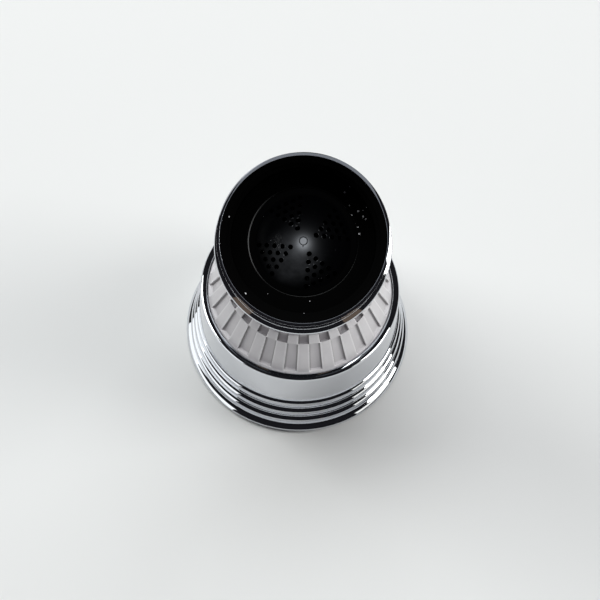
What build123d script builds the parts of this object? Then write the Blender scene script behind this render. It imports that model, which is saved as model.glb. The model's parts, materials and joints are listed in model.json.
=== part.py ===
"""Swivel tap aerator with a sliding skirt, in millimetres, standing on its outlet end.

The head is turned about Z. The inlet collar is modelled about the ball's centre and then tipped
towards -Y, which is how it rests.
"""
import os
from math import asin, cos, radians, sin, sqrt, tan

from build123d import *

# Fits
slide_gap = 0.15        # radial gap between pieces that slide in each other
turn_gap = 0.05         # radial gap of a running fit
seat_gap = 0.03         # radial gap of pieces that are pressed or clipped together
rest_gap = 0.05         # gap between two faces that stop each other
free_gap = 0.3          # room round pieces that pass without touching

# Skirt
skirt_height = 15.3
skirt_lip_radius = 15.3
skirt_base_radius = 17.5
skirt_bore_radius = 13.4
lip_width = 1.05
lip_round = 0.15
ring_walls = (0.82, 1.4, 1.66, 1.84)        # height of each grip ring, from the base up
ring_shoulders = (0.72, 0.46, 0.45, 0.28)   # run and rise of the slope above each ring
ring_draft = 0.03       # how much smaller a ring is at its top
mouth_depth = 1.45
ledge_thickness = 0.7
ledge_width = 1.1
base_chamfer = 0.3

# Slide of the skirt on the core
slide_travel = 3.5

# Spray plate and the well of the aerator
plate_recess = 1.4
plate_thickness = 1.6
plate_margin = 2.3      # skirt wall outside the plate at the base
well_radius = 9.0
well_wall = 1.2
well_height = 5.8
well_step_width = 0.6
well_step_height = 0.5
spray_hole_radius = 0.55
spray_row_places = (0.36, 0.8)  # between the well and the skirt's bore
spray_row_counts = (14, 20)
well_seal_section = 0.75
well_seal_drop = 1.1    # below the top of the well
hole_sides = 6          # flats of the small moulded holes

# Aerator
cup_wall = 0.85
cup_lip = 0.6
grid_thickness = 1.0
grid_bar = 0.35
grid_rim = 0.75
grid_rings = 2
mesh_thickness = 0.25
mesh_rim = 0.6
mesh_rows = 2           # openings each way from the middle one
mesh_share = 0.76       # width of an opening over the pitch of the openings
mixing_thickness = 0.5
mixing_cone_radius = 2.4
mixing_cone_height = 0.6
mixing_slot_count = 8
mixing_slot_width = 1.2
mixing_slot_share = 0.66    # length of a slot over the room for it
flow_thickness = 1.2
jet_count = 10
jet_radius = 0.5
jet_place = 0.64        # of the disc's radius
gasket_thickness = 0.7
gasket_width = 1.6

# Core
piston_height = 3.2
piston_seal_section = 1.2   # side of the seal's square section
chamber_gap = 1.4       # water space above the well
core_floor = 1.2
core_tube_wall = 1.4
core_spigot_wall = 0.8
core_spigot_height = 2.1
boss_radius = 6.0
boss_height = 5.0
clip_room_radius = 5.2
clip_room_height = 3.4

# Ribbed cap
rib_count = 22
rib_start = -92.6       # degrees, the groove nearest the front
cap_edge_height = 1.1
cap_edge_taper = 0.1
lower_tier_height = 5.2
lower_tier_run = 2.5
upper_tier_height = 0.8
upper_tier_run = 0.9
groove_foot = 0.35
rib_depth = 0.75
recess_depth = 0.95
recess_drop = 0.3
cap_wall = 1.4
cap_roof = 1.3
cap_boss_radius = 5.4
cap_boss_height = 0.9

# Ball and stem
ball_radius = 6.5
ball_top = 4.6
stem_radius = 3.8
journal_radius = 3.4
stem_bore_radius = 2.1
stem_mouth_radius = 3.6
stem_seal_section = 0.8
stem_seal_drop = 2.6    # below the journal's shoulder
clip_thickness = 0.6
clip_width = 1.7
clip_depth = 0.45
clip_opening = 80.0     # degrees
stem_tail = 0.7

# Inlet collar, along its axis from the ball's centre
tip_angle = 24.0
tip_margin = 1.7        # degrees left between the stem and the socket at the end of the tip
tip_gap = 0.38          # collar's low edge above the cap when it is tipped
thread_radius = 10.46   # minor radius of an M22 x 1 internal thread
thread_length = 4.2
thread_relief = 0.24
socket_wall = 1.44
mouth_chamfer = 0.75
socket_foot = 3.6
collar_wall = 0.47
collar_flare = 0.15
collar_flange = 0.65    # how far the foot's flange stands out
flange_rise = 0.3
collar_lip = 0.4
collar_hem = 0.6
rim_stand = 0.25
bead_height = 0.35
bead_depth = 0.14

# Ball seat, strainer and washer
seat_floor = 1.6
seat_height = 1.8
seat_width = 2.15
retainer_height = 1.8
retainer_gap = 0.35
spanner_slot_width = 1.6
spanner_slot_depth = 0.7
strainer_thickness = 0.8
strainer_flange = 0.6
strainer_foot_radius = 6.95
strainer_sphere_radius = 8.4
strainer_hole_radius = 0.3
strainer_hole_pitch = 1.15
strainer_group_count = 4
strainer_group_rows = 5
strainer_group_start = 2.05
strainer_group_turn = 28.5
strainer_button_radius = 0.64
strainer_button_height = 0.12
washer_thickness = 1.8
washer_inner_radius = 7.9


def turned(*corners):
    """Solid of revolution about Z from (radius, height) corners, each with an optional round."""
    rounds = [corner[2] if len(corner) > 2 else 0 for corner in corners]
    outline = FilletPolyline(*[corner[:2] for corner in corners], radius=rounds, close=True)
    return revolve(make_face(Plane.XZ * outline), Axis.Z)


def ring(inner, outer, low, high):
    """Plain ring or, with no inner radius, plain disc."""
    return turned((inner, low), (outer, low), (outer, high), (inner, high))


def around(shape, count, turn=0.0):
    """Copies of a shape, evenly spaced about Z."""
    return [Rot(Z=turn + 360 * index / count) * shape for index in range(count)]


def seal_ring(outer, section, height):
    """Seal of square section about Z, with its middle at a height."""
    return ring(outer - section, outer, height - section / 2, height + section / 2)


def drill(radius, low, high):
    """Cutter for a small moulded hole along Z."""
    return Pos(Z=low) * extrude(RegularPolygon(radius, hole_sides), high - low)


def honeycomb(pitch, rings):
    """Centres of a honeycomb of cells round the origin."""
    for row in range(-rings, rings + 1):
        for column in range(-rings, rings + 1):
            if abs(row + column) <= rings:
                yield pitch * (column + row / 2), pitch * row * sqrt(3) / 2


def save(shape, node):
    """Write one piece to its own file."""
    export_step(shape, f"parts/{node}.step")


# Heights of the head
ledge_top = skirt_height - mouth_depth
ledge_under = ledge_top - ledge_thickness
plate_top = plate_recess + plate_thickness
well_top = plate_recess + well_height
well_seal_height = well_top - well_seal_drop
plate_radius = skirt_base_radius - plate_margin
mouth_radius = skirt_lip_radius - lip_width
ledge_radius = skirt_bore_radius - ledge_width

piston_top = ledge_under - slide_travel - rest_gap
piston_foot = piston_top - piston_height
piston_seal_height = piston_foot + piston_height / 2
bell_radius = well_radius + slide_gap
bell_foot = well_top - slide_travel + free_gap
chamber_top = well_top + chamber_gap
cap_base = ledge_top + rest_gap
core_tube_radius = ledge_radius - free_gap
core_spigot_radius = core_tube_radius - core_spigot_wall
core_tube_bore = core_tube_radius - core_tube_wall
boss_foot = chamber_top + clip_room_height
boss_top = boss_foot + boss_height
boss_bore = journal_radius + turn_gap

tier_radius = mouth_radius - slide_gap - cap_edge_taper
tier_foot = cap_base + cap_edge_height
tier_break = tier_foot + lower_tier_height
tier_break_radius = tier_radius - lower_tier_run
cap_top = tier_break + upper_tier_height
cap_top_radius = tier_break_radius - upper_tier_run

# Heights along the collar's axis
retainer_floor = seat_floor + seat_height
strainer_floor = retainer_floor + retainer_height
washer_floor = strainer_floor + strainer_thickness
sphere_drop = sqrt(strainer_sphere_radius**2 - strainer_foot_radius**2)
dome_top = washer_floor - sphere_drop + strainer_sphere_radius + strainer_button_height
thread_foot = dome_top + rest_gap
thread_top = thread_foot + thread_length
socket_top = thread_top + mouth_chamfer
rim_top = socket_top + rim_stand
collar_foot = -socket_foot - collar_lip

relief_radius = thread_radius + thread_relief
socket_mouth_radius = thread_radius + socket_wall
rim_radius = socket_mouth_radius + seat_gap + collar_wall
collar_foot_radius = rim_radius + collar_flare + collar_flange
seat_radius = ball_radius + seat_width
strainer_radius = seat_radius + strainer_flange
ball_seat_radius = ball_radius + turn_gap

# The ball sits so high that the tipped collar just clears the cap
tip = radians(tip_angle)
pivot_height = cap_top + tip_gap - collar_foot * cos(tip) + (collar_foot_radius + bead_depth) * sin(tip)
tipped = Pos(Z=pivot_height) * Rot(X=tip_angle)


def collar_outer_radius(height):
    """Outer radius of the collar's sleeve at a height on its axis, flange apart."""
    return rim_radius + collar_flare * (rim_top - height) / (rim_top - collar_foot)


def collar_inner_radius(height):
    """Inner radius of the sleeve, which the socket is pressed into."""
    return collar_outer_radius(height) - collar_wall


# Skirt
def make_skirt_shell():
    """Chromed skirt: grip rings, smooth band and lip outside, bore and ledge inside."""
    corners = [
        (plate_radius, 0),
        (skirt_base_radius - base_chamfer, 0),
        (skirt_base_radius, base_chamfer),
    ]
    radius, height = skirt_base_radius, 0
    for wall, shoulder in zip(ring_walls, ring_shoulders):
        radius -= ring_draft
        height += wall
        corners.append((radius, height))
        radius -= shoulder
        height += shoulder
        corners.append((radius, height))
    corners += [
        (skirt_lip_radius, skirt_height, lip_round),
        (mouth_radius, skirt_height, lip_round),
        (mouth_radius, ledge_top),
        (ledge_radius, ledge_top),
        (ledge_radius, ledge_under),
        (skirt_bore_radius, ledge_under),
        (skirt_bore_radius, plate_top),
        (plate_radius, plate_top),
    ]
    return turned(*corners)


def make_spray_plate():
    """Outlet plate with its spray holes and the well that holds the aerator."""
    well_bore = well_radius - well_wall
    step_radius = well_bore - well_step_width
    plate = turned(
        (step_radius, plate_recess),
        (plate_radius - seat_gap, plate_recess),
        (plate_radius - seat_gap, plate_top),
        (well_radius, plate_top),
        (well_radius, well_top),
        (well_bore, well_top),
        (well_bore, plate_recess + well_step_height),
        (step_radius, plate_recess + well_step_height),
    )
    hole = drill(spray_hole_radius, plate_recess - free_gap, plate_top + free_gap)
    for place, count in zip(spray_row_places, spray_row_counts):
        row_radius = well_radius + place * (skirt_bore_radius - well_radius)
        plate -= around(Pos(X=row_radius) * hole, count)
    return plate - well_groove()


def well_groove():
    """Groove of the seal near the top of the well."""
    return ring(
        bell_radius - well_seal_section - 2 * turn_gap,
        well_radius + free_gap,
        well_seal_height - well_seal_section / 2 - turn_gap,
        well_seal_height + well_seal_section / 2 + turn_gap,
    )


def make_well_seal():
    """Seal that the core's bell runs on."""
    return seal_ring(bell_radius - turn_gap, well_seal_section, well_seal_height)


# Aerator
cup_radius = well_radius - well_wall - seat_gap
cup_bore = cup_radius - cup_wall
disc_radius = cup_bore - seat_gap
cup_foot = plate_recess + well_step_height
grid_foot = cup_foot + cup_lip
lower_mesh_foot = grid_foot + grid_thickness
upper_mesh_foot = lower_mesh_foot + mesh_thickness
mixing_foot = upper_mesh_foot + mesh_thickness
flow_foot = mixing_foot + mixing_thickness + mixing_cone_height
cup_top = flow_foot + flow_thickness


def make_aerator_housing():
    """Cup of the aerator, with a lip that carries the grid."""
    return turned(
        (cup_bore - cup_lip, cup_foot),
        (cup_radius, cup_foot),
        (cup_radius, cup_top),
        (cup_bore, cup_top),
        (cup_bore, grid_foot),
        (cup_bore - cup_lip, grid_foot),
    )


def make_outlet_grid():
    """Honeycomb that straightens the stream."""
    corner = tan(radians(30))    # corner radius of a cell, over its width
    pitch = (disc_radius - grid_rim + grid_bar * corner) / (grid_rings + corner)
    cell = extrude(RegularPolygon((pitch - grid_bar) * corner, 6, rotation=30), 2 * grid_thickness)
    cells = [Pos(x, y, grid_foot - grid_thickness / 2) * cell for x, y in honeycomb(pitch, grid_rings)]
    return ring(0, disc_radius, grid_foot, lower_mesh_foot) - cells


def make_mesh(foot, turn):
    """Mixing screen with square openings."""
    half = mesh_share / 2
    pitch = (disc_radius - mesh_rim) / sqrt((mesh_rows + half) ** 2 + (1 + half) ** 2)
    width = mesh_share * pitch
    cell = extrude(Rectangle(width, width), 2 * mesh_thickness)
    cells = []
    for row in range(-mesh_rows, mesh_rows + 1):
        for column in range(-mesh_rows, mesh_rows + 1):
            if abs(row) + abs(column) <= mesh_rows + 1:
                cells.append(Pos(pitch * column, pitch * row, foot - mesh_thickness / 2) * cell)
    return Rot(Z=turn) * (ring(0, disc_radius, foot, foot + mesh_thickness) - cells)


def make_mixing_disc():
    """Slotted disc with a rim and a cone in the middle, which breaks the jets up."""
    top = mixing_foot + mixing_thickness
    disc = turned(
        (0, mixing_foot),
        (disc_radius, mixing_foot),
        (disc_radius, flow_foot),
        (disc_radius - cup_wall, flow_foot),
        (disc_radius - cup_wall, top),
        (mixing_cone_radius, top),
        (0, flow_foot),
    )
    middle = (mixing_cone_radius + disc_radius - cup_wall) / 2
    reach = mixing_slot_share * (disc_radius - cup_wall - mixing_cone_radius)
    slot = Pos(middle, 0, mixing_foot) * Box(reach, mixing_slot_width, 4 * mixing_thickness)
    return disc - around(slot, mixing_slot_count)


def make_flow_plate():
    """Metering disc with a circle of jets."""
    plate = ring(0, disc_radius, flow_foot, cup_top)
    jet = Pos(X=jet_place * disc_radius) * drill(jet_radius, flow_foot - free_gap, cup_top + free_gap)
    return plate - around(jet, jet_count)


def make_housing_gasket():
    """Flat seal on top of the aerator."""
    return ring(cup_radius - gasket_width, cup_radius, cup_top, cup_top + gasket_thickness)


# Core
def make_core_body():
    """Piston with the bell over the well, the boss of the stem and the tube that carries the cap."""
    spigot_top = cap_base + core_spigot_height
    floor_top = chamber_top + core_floor
    core = turned(
        (bell_radius, bell_foot),
        (core_tube_bore, bell_foot),
        (core_tube_bore, piston_foot),
        (skirt_bore_radius - slide_gap, piston_foot),
        (skirt_bore_radius - slide_gap, piston_top),
        (core_tube_radius, piston_top),
        (core_tube_radius, cap_base),
        (core_spigot_radius, cap_base),
        (core_spigot_radius, spigot_top),
        (core_tube_bore, spigot_top),
        (core_tube_bore, floor_top),
        (boss_radius, floor_top),
        (boss_radius, boss_top),
        (boss_bore, boss_top),
        (boss_bore, boss_foot),
        (clip_room_radius, boss_foot),
        (clip_room_radius, chamber_top),
        (bell_radius, chamber_top),
    )
    return core - piston_groove()


def piston_groove():
    """Groove of the seal round the piston."""
    return ring(
        skirt_bore_radius - piston_seal_section - 2 * turn_gap,
        skirt_bore_radius + free_gap,
        piston_seal_height - piston_seal_section / 2 - turn_gap,
        piston_seal_height + piston_seal_section / 2 + turn_gap,
    )


def make_piston_seal():
    """Seal between the piston and the skirt's bore."""
    return seal_ring(skirt_bore_radius - turn_gap, piston_seal_section, piston_seal_height)


# Ribbed cap
def cap_radius(height):
    """Outer radius of the cap's lower tier at a height."""
    return tier_radius - lower_tier_run * (height - tier_foot) / lower_tier_height


def make_ribbed_cap():
    """White cap: a plain edge, a lower tier of ribs and an upper tier of blocks set between them."""
    bore = core_spigot_radius + seat_gap
    spigot_room = cap_base + core_spigot_height + rest_gap
    roof_under = cap_top - cap_roof
    stem_hole = stem_radius + free_gap
    roof_reach = cap_radius(roof_under) - rib_depth - cap_wall
    cap = turned(
        (bore, cap_base),
        (mouth_radius - slide_gap, cap_base),
        (mouth_radius - slide_gap, tier_foot - cap_edge_taper),
        (tier_radius, tier_foot),
        (tier_break_radius, tier_break),
        (cap_top_radius, cap_top),
        (cap_boss_radius, cap_top),
        (cap_boss_radius, cap_top + cap_boss_height),
        (stem_hole, cap_top + cap_boss_height),
        (stem_hole, roof_under),
        (roof_reach, roof_under),
        (bore, spigot_room),
    )
    half_pitch = 180 / rib_count
    grooves = around(rib_groove(half_pitch), rib_count, rib_start)
    recesses = around(tier_recess(half_pitch), rib_count, rib_start + half_pitch)
    return cap - grooves - recesses


def sector(corners, arc):
    """Part turn of an outline about Z, centred on +X."""
    outline = make_face(Plane.XZ * Polyline(*corners, close=True))
    return Rot(Z=-arc / 2) * revolve(outline, Axis.Z, revolution_arc=arc)


def rib_groove(arc):
    """Groove between two ribs of the lower tier."""
    low = tier_foot + groove_foot
    high = tier_break
    return sector(
        (
            (cap_radius(low) - rib_depth, low),
            (cap_radius(low) + free_gap, low),
            (cap_radius(high) + free_gap, high),
            (cap_radius(high) - rib_depth, high),
        ),
        arc,
    )


def tier_recess(arc):
    """Recess between two blocks of the upper tier, sunk behind the end of a rib."""
    low = tier_break - recess_drop
    high = cap_top + free_gap
    floor = cap_top_radius - recess_depth + upper_tier_run / 2
    return sector(
        ((floor, low), (cap_radius(low) + free_gap, low), (cap_radius(low) + free_gap, high), (floor, high)),
        arc,
    )


# Ball and stem
stem_shoulder = boss_top + rest_gap
clip_top = boss_foot - rest_gap
clip_foot = clip_top - clip_thickness
stem_seal_height = stem_shoulder - stem_seal_drop
stem_foot = clip_foot - stem_tail


def make_ball_stem():
    """Hollow ball on a stem, whose journal turns in the core's boss."""
    ball = Pos(Z=pivot_height) * (Sphere(ball_radius) & Pos(Z=ball_top - ball_radius) * Cylinder(
        ball_radius, 2 * ball_radius))
    stem = turned(
        (0, stem_foot),
        (journal_radius, stem_foot),
        (journal_radius, stem_shoulder),
        (stem_radius, stem_shoulder),
        (stem_radius, pivot_height),
        (0, pivot_height),
    )
    mouth = stem_mouth_radius - stem_bore_radius
    water_way = turned(
        (0, stem_foot - free_gap),
        (stem_bore_radius, stem_foot - free_gap),
        (stem_bore_radius, pivot_height + ball_top - mouth),
        (stem_mouth_radius, pivot_height + ball_top),
        (0, pivot_height + ball_top),
    )
    groove_floor = journal_radius - clip_depth
    clip_groove = ring(groove_floor, stem_radius, clip_foot - turn_gap, clip_top + turn_gap)
    half = stem_seal_section / 2 + turn_gap
    seal_floor = boss_bore - stem_seal_section - 2 * turn_gap
    seal_groove = ring(seal_floor, stem_radius, stem_seal_height - half, stem_seal_height + half)
    return ball + stem - water_way - clip_groove - seal_groove


def make_stem_seal():
    """Seal of the journal in the boss."""
    return seal_ring(boss_bore - turn_gap / 2, stem_seal_section, stem_seal_height)


def make_stem_clip():
    """Open snap ring under the boss."""
    inner = journal_radius - clip_depth + turn_gap
    clip = ring(inner, inner + clip_width, clip_foot, clip_top)
    reach = inner + 2 * clip_width
    corner = reach / cos(radians(clip_opening / 2))
    half_width = corner * sin(radians(clip_opening / 2))
    opening = Polyline((0, 0), (reach, half_width), (reach, -half_width), close=True)
    return clip - Pos(Z=clip_foot - free_gap) * extrude(make_face(opening), clip_thickness + 2 * free_gap)


# Inlet collar
def make_collar_shell():
    """Thin chromed sleeve with a flange at its foot, hemmed in under the socket."""
    hem_radius = collar_inner_radius(-socket_foot) - collar_hem
    flange_top = collar_foot + bead_height
    flange_root = flange_top + flange_rise
    return turned(
        (hem_radius, collar_foot),
        (collar_foot_radius, collar_foot),
        (collar_foot_radius + bead_depth, collar_foot + bead_height / 2),
        (collar_foot_radius, flange_top),
        (collar_outer_radius(flange_root), flange_root),
        (rim_radius, rim_top),
        (rim_radius - collar_wall, rim_top),
        (collar_inner_radius(-socket_foot), -socket_foot),
        (hem_radius, -socket_foot),
    )


def make_inlet_socket():
    """Black insert: inlet thread, floor of the washer and strainer, and the seat under the ball."""
    lip_angle = asin(stem_radius / ball_radius) + radians(tip_angle + tip_margin)
    lip_height = -ball_seat_radius * cos(lip_angle)
    lip_radius = ball_seat_radius * sin(lip_angle)
    flare_radius = lip_radius + (lip_height + socket_foot) * tan(lip_angle)
    socket = turned(
        (flare_radius, -socket_foot),
        (collar_inner_radius(-socket_foot) - seat_gap, -socket_foot),
        (collar_inner_radius(socket_top) - seat_gap, socket_top),
        (thread_radius, thread_top),
        (thread_radius, thread_foot),
        (relief_radius, thread_foot),
        (relief_radius, washer_floor),
        (strainer_radius + seat_gap, washer_floor),
        (strainer_radius + seat_gap, strainer_floor),
        (seat_radius + seat_gap, strainer_floor),
        (seat_radius + seat_gap, seat_floor),
        (ball_seat_radius, seat_floor),
        (ball_seat_radius, 0),
        (lip_radius, lip_height),
    )
    return socket - Sphere(ball_seat_radius)


def make_ball_seat():
    """Sealing ring on top of the ball."""
    return ring(stem_radius, seat_radius, seat_floor, retainer_floor) - Sphere(ball_seat_radius)


def make_ball_retainer():
    """Ring that holds the ball seat, with two spanner slots."""
    bore = sqrt(ball_seat_radius**2 - retainer_floor**2) + retainer_gap
    retainer = ring(bore, seat_radius, retainer_floor, strainer_floor)
    return retainer - Pos(Z=strainer_floor) * Box(
        2 * seat_radius + free_gap, spanner_slot_width, 2 * spanner_slot_depth)


def make_strainer_dome():
    """Moulded dome with triangular groups of holes and the mark of its gate."""
    centre = washer_floor - sphere_drop
    shell = Sphere(strainer_sphere_radius) - Sphere(strainer_sphere_radius - strainer_thickness)
    above = Pos(Z=strainer_floor + strainer_sphere_radius / 2) * Cylinder(
        strainer_sphere_radius, strainer_sphere_radius)
    dome = (Pos(Z=centre) * shell) & above
    flange = ring(strainer_foot_radius, strainer_radius, strainer_floor, washer_floor)
    button_foot = centre + strainer_sphere_radius - strainer_thickness / 2
    button = ring(0, strainer_button_radius, button_foot, dome_top)
    hole = drill(strainer_hole_radius, strainer_floor, dome_top)
    holes = []
    for row in range(strainer_group_rows):
        reach = strainer_group_start + row * strainer_hole_pitch * sqrt(3) / 2
        for place in range(row + 1):
            placed = Pos(reach, (place - row / 2) * strainer_hole_pitch) * hole
            holes += around(placed, strainer_group_count, strainer_group_turn)
    return dome + flange + button - holes


def make_inlet_washer():
    """Flat rubber washer at the foot of the inlet."""
    return ring(washer_inner_radius, relief_radius - slide_gap, washer_floor, washer_floor + washer_thickness)


os.makedirs("parts", exist_ok=True)

save(make_skirt_shell(), "skirt_shell")
save(make_spray_plate(), "spray_plate")
save(make_well_seal(), "well_seal")
save(make_aerator_housing(), "aerator_housing")
save(make_outlet_grid(), "outlet_grid")
save(make_mesh(lower_mesh_foot, 0), "lower_mesh")
save(make_mesh(upper_mesh_foot, 45), "upper_mesh")
save(make_mixing_disc(), "mixing_disc")
save(make_flow_plate(), "flow_plate")
save(make_housing_gasket(), "housing_gasket")

save(make_core_body(), "core_body")
save(make_piston_seal(), "piston_seal")
save(make_ribbed_cap(), "ribbed_cap")

save(make_ball_stem(), "ball_stem")
save(make_stem_seal(), "stem_seal")
save(make_stem_clip(), "stem_clip")

save(tipped * make_collar_shell(), "collar_shell")
save(tipped * make_inlet_socket(), "inlet_socket")
save(tipped * make_ball_seat(), "ball_seat")
save(tipped * make_ball_retainer(), "ball_retainer")
save(tipped * make_strainer_dome(), "strainer_dome")
save(tipped * make_inlet_washer(), "inlet_washer")
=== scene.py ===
"""Fine pieces, finishes and stage for a swivel tap aerator.

Laid out as an add-on and run as a script around the packed frame. Lengths are in metres. The head's pieces
are modelled in place about Z; the inlet's pieces are modelled about the ball's centre and then tipped.
"""
import functools
import json
import math

import bmesh
import bpy
from bpy.props import FloatProperty, FloatVectorProperty, IntProperty, PointerProperty
from mathutils import Matrix, Vector


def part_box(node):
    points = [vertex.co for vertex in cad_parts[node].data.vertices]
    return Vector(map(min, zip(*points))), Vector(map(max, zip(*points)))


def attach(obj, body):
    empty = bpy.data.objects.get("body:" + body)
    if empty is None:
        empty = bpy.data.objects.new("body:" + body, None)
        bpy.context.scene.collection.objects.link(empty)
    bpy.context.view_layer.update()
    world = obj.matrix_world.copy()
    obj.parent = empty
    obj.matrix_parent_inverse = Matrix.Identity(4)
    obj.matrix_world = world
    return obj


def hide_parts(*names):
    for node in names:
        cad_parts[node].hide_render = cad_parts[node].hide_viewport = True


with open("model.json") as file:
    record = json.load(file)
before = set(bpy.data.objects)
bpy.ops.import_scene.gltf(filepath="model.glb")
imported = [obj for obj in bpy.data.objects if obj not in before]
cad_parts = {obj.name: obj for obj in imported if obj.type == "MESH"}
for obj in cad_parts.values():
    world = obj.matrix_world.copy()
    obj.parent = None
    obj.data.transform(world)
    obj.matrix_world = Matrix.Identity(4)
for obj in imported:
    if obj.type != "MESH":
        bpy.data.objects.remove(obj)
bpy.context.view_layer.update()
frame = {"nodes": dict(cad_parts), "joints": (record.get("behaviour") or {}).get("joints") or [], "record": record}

bl_info = {
    "name": "Swivel tap aerator",
    "version": (1, 0, 0),
    "blender": (4, 5, 0),
    "location": "View3D > Sidebar > Aerator",
    "description": "Models the fine pieces of a swivel tap aerator and sets it on a studio floor",
    "category": "Object",
}

MM = 0.001
MERGE = 1e-7            # points closer than this are one point
NEAR = 2e-6             # tolerance when edges are picked by their place
ROUND_STEPS = 5         # facets of a rounded corner
HOLE_SIDES = 24         # facets round a hole
SMOOTH_ANGLE = math.radians(35)     # faces that meet less sharply than this shade as one
FRAME_PIXELS = 600      # width and height of the picture
MIX_FIRST, MIX_SECOND, MIX_RESULT = 6, 7, 2     # colour sockets of a Mix node

# Dust: how many cells a drift spans, and how sharply and thickly specks gather in it
DRIFT_CELLS, DRIFT_POWER, DRIFT_GAIN = 6, 4, 12
DUST_GATHERED, DUST_EVERYWHERE = 1.3, 0.025
# Places in the inlet: across, along, height and reach, in millimetres on the inlet's own axes
DUST_PLACE = (8.6, 4.2, 7.8, 6.5)
# Painted highlight: a faint pale layer beside the strainer dome's pole that widens the highlight there
HIGHLIGHT_FILM_PLACE = (-1.6, -2.8, 9.0, 5.4)
# Painted highlight: the lighter side of the washer's inner edge
HIGHLIGHT_PLACE = (-7.9, 0.6, 7.8, 8.0)
WEAR_GLOSS = 0.3
# Noise levels that are spread over the whole range, and depths over which the painted shade in the cap's recesses
# deepens
CLOUD_RANGE = (0.32, 0.68)
SUNK_RANGE = (0.08 * MM, 1.0 * MM)
# Painted shade in the cap's recesses, at their feet and in the corners at the ribs, and the painted highlight on
# the ribs' edges
RECESS_SHADE, FOOT_SHADE, FOOT_POWER = 0.34, 0.75, 6
CORNER_DEPTH, CORNER_SHADE = 0.12, 0.75
EDGE_DEPTH, EDGE_HIGHLIGHT = 0.05, 0.9
FLOOR_SHADE = 0.92      # darkest patches of the floor

joints = {joint["name"]: joint for joint in frame["joints"]}
mounts = {mount["name"]: mount for mount in frame["record"]["mounts"]}
pivot = Vector(joints["swivel_tip"]["pos_m"])
collar_axis = Vector(mounts["inlet_thread"]["axis"])
thread_radius = mounts["inlet_thread"]["dims"]["r_mm"]
collar_place = Matrix.Translation(pivot) @ Matrix.Rotation(math.atan2(-collar_axis.y, collar_axis.z), 4, "X")
skirt_low, skirt_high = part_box("skirt_shell")
cap_low, cap_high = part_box("ribbed_cap")
stem_low, stem_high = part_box("ball_stem")
plate_low, plate_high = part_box("spray_plate")


def length(name, millimetres, description):
    """Property that holds a length."""
    return FloatProperty(
        name=name, description=description, default=millimetres * MM, unit="LENGTH", precision=5)


def lengths(name, millimetres, description):
    """Property that holds a row of lengths."""
    return FloatVectorProperty(
        name=name, description=description, default=[MM * value for value in millimetres],
        size=len(millimetres), unit="LENGTH", precision=5)


def colour(name, red, green, blue, description):
    """Property that holds a colour."""
    return FloatVectorProperty(
        name=name, description=description, default=(red, green, blue), subtype="COLOR", min=0, max=1)


def whole(name, value, description, least=1):
    """Property that holds a whole number."""
    return IntProperty(name=name, description=description, default=value, min=least)


def degrees(name, value, description):
    """Property that holds an angle."""
    return FloatProperty(name=name, description=description, default=math.radians(value), subtype="ANGLE")


def ratio(name, value, description):
    """Property that holds a ratio."""
    return FloatProperty(name=name, description=description, default=value, subtype="FACTOR", min=0, max=4)


def plain(name, value, description):
    """Property that holds a number of no unit."""
    return FloatProperty(name=name, description=description, default=value)


class SkirtSizes(bpy.types.PropertyGroup):
    """Sizes of the chromed skirt."""
    base_radius: length("Base radius", skirt_high.x / MM - 0.006, "Outer radius of the lowest grip ring")
    height: length("Height", skirt_high.z / MM, "From the base to the lip")
    lip_radius: length("Lip radius", 15.3, "Outer radius of the lip")
    lip_width: length("Lip width", 1.05, "Wall of the lip")
    lip_round: length("Lip round", 0.5, "Setback of the lip's outer round")
    plate_radius: length("Plate radius", 15.2, "Recess of the spray plate")
    plate_top: length("Plate top", plate_low.z / MM + 1.6, "Height of the shoulder over the spray plate")
    bore: length("Bore", 13.4, "Radius that the core slides in")
    ledge: length("Ledge", 12.3, "Radius of the ledge that stops the core")
    ledge_top: length("Ledge top", cap_low.z / MM - 0.05, "Height of the ledge's upper face")
    ledge_thickness: length("Ledge thickness", 0.7, "Thickness of the ledge")
    ring_tops: lengths("Ring tops", (1.54, 3.4, 5.51, 7.63), "Top of the slope above each ring")
    ring_shoulders: lengths("Ring shoulders", (0.8, 0.53, 0.53, 0.4), "Run of the slope above each ring")
    shoulder_rise: ratio("Shoulder rise", 0.9, "Rise of a slope over its run")
    ring_lean: length("Ring lean", 0.08, "How much larger a ring is at its top")
    shoulder_bulge: ratio("Shoulder bulge", 0.067, "How far a slope swells, over its run")
    edge_round: length("Edge round", 0.08, "Setback of the small edges")
    segments: whole("Segments", 288, "Facets round the skirt", 32)


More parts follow.
